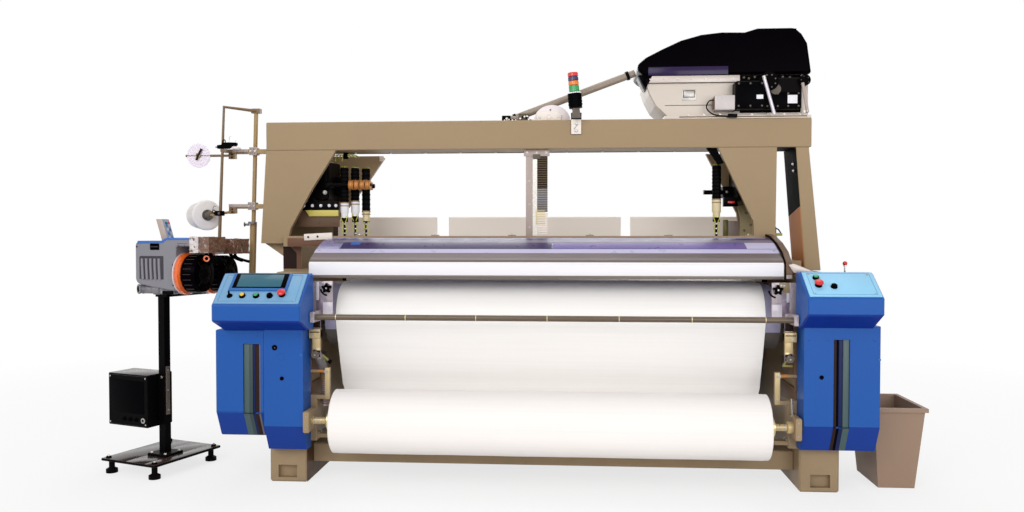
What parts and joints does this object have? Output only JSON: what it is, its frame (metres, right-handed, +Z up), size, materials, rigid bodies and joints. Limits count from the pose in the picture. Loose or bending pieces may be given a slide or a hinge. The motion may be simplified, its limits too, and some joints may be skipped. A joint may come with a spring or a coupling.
{
  "type": "water jet loom with dobby, weft feeders on a stand and a waste bin",
  "caption": "Wide water jet loom: tan portal frame, blue side covers, cloth roll, hinged clear hood, heald frames, dobby on top, weft feeders on a stand and a bin.",
  "frame": {"origin": "on the floor, at the centre of the footprint of the loom with its feeder stand and bin", "axes": "+X along the cloth width, to the right as the weaver sees it from the front; +Y from the cloth roll side to the warp beam side; +Z up"},
  "size_m": [3.985, 1.5, 2.236],
  "materials": {
    "tan_paint": "satin",
    "blue_paint": "satin",
    "panel_blue": "satin",
    "red_plastic": "gloss",
    "bright_steel": "brushed",
    "white_cloth": "plain woven",
    "yarn_white": "wound yarn",
    "emery": "matt",
    "aluminium": "satin",
    "clear_violet": "clear, tinted film",
    "brown_paint": "satin",
    "black_steel": "satin",
    "cast_grey": "turned",
    "pale_beige": "satin",
    "motor_grey": "satin",
    "silver_paint": "satin",
    "gloss_black": "gloss",
    "cream_tube": "satin",
    "lamp_plastic": "gloss",
    "feeder_grey": "matt",
    "orange_plastic": "gloss",
    "disc_white": "gloss",
    "bin_plastic": "matt"
  },
  "bodies": {
    "root": {"backrest_roller": "bright_steel", "breast_beam": "tan_paint", "cabinet_left": "blue_paint", "cloth_sheet": "white_cloth", "column_left": "tan_paint", "column_right": "tan_paint", "control_panel_left": "panel_blue", "control_panel_right": "panel_blue", "cover_left": "blue_paint", "cover_right": "blue_paint", "dobby_cover": "gloss_black", "dobby_gearbox": "black_steel", "dobby_housing": "silver_paint", "drive_motor": "motor_grey", "drive_tube": "cream_tube", "feeder_1_body": "feeder_grey", "feeder_2_body": "feeder_grey", "feeder_control_box": "black_steel", "feeder_stand": "black_steel", "frame_left": "tan_paint", "frame_right": "tan_paint", "front_cross_beam": "tan_paint", "front_rail": "bright_steel", "gantry_beam": "tan_paint", "guard_rail": "tan_paint", "harness_guide_post": "bright_steel", "hood_end_right": "brown_paint", "hood_hinge_bar": "tan_paint", "lifter_gear_left": "black_steel", "lifter_gear_right": "black_steel", "outer_post_right": "tan_paint", "pulley_guard": "cream_tube", "rear_cross_beam": "tan_paint", "rear_guard_1": "pale_beige", "rear_guard_2": "pale_beige", "rear_guard_3": "pale_beige", "roll_bearing_left": "tan_paint", "roll_bearing_right": "tan_paint", "side_plate_left": "bright_steel", "side_plate_right": "bright_steel", "signal_lamp": "lamp_plastic", "sley_and_reed": "bright_steel", "takeup_roller": "emery", "warp_beam": "cast_grey", "warp_sheet": "white_cloth", "waste_bin": "bin_plastic", "yarn_cone": "yarn_white", "yarn_disc": "disc_white", "yarn_guide_rod": "cream_tube", "yarn_stand_pole": "cream_tube"},
    "cloth_roll": {"cloth_roll": "white_cloth"},
    "hood": {"hood_band": "aluminium", "hood_glass": "clear_violet"},
    "heald_1": {"heald_frame_1": "black_steel"},
    "heald_2": {"heald_frame_2": "black_steel"},
    "heald_3": {"heald_frame_3": "black_steel"},
    "hand_lever_arm": {"hand_lever": "red_plastic"},
    "feeder_disc_1": {"feeder_1_disc": "orange_plastic"},
    "feeder_disc_2": {"feeder_2_disc": "orange_plastic"}
  },
  "joints": [
    {"name": "cloth_roll_turn", "type": "hinge", "parent": "root", "child": "cloth_roll", "pos_m": [0.2455, -0.58, 0.315], "axis": [1, 0, 0], "continuous": true},
    {"name": "hood_lift", "type": "hinge", "parent": "root", "child": "hood", "pos_m": [0.2455, -0.095, 1.158], "axis": [-1, 0, 0], "range_deg": [0, 70]},
    {"name": "heald_1_lift", "type": "slide", "parent": "root", "child": "heald_1", "axis": [0, 0, 1], "range_m": [-0.04, 0.04]},
    {"name": "heald_2_lift", "type": "slide", "parent": "root", "child": "heald_2", "axis": [0, 0, 1], "range_m": [-0.04, 0.04]},
    {"name": "heald_3_lift", "type": "slide", "parent": "root", "child": "heald_3", "axis": [0, 0, 1], "range_m": [-0.04, 0.04]},
    {"name": "hand_lever_swing", "type": "hinge", "parent": "root", "child": "hand_lever_arm", "pos_m": [1.5755, -0.45, 0.9], "axis": [1, 0, 0], "range_deg": [-20, 20]},
    {"name": "feeder_1_spin", "type": "hinge", "parent": "root", "child": "feeder_disc_1", "pos_m": [-1.57468, -0.32684, 0.987], "axis": [0.9903, -0.1392, 0], "continuous": true},
    {"name": "feeder_2_spin", "type": "hinge", "parent": "root", "child": "feeder_disc_2", "pos_m": [-1.53784, -0.10784, 0.977], "axis": [0.9903, -0.1392, 0], "continuous": true}
  ]
}
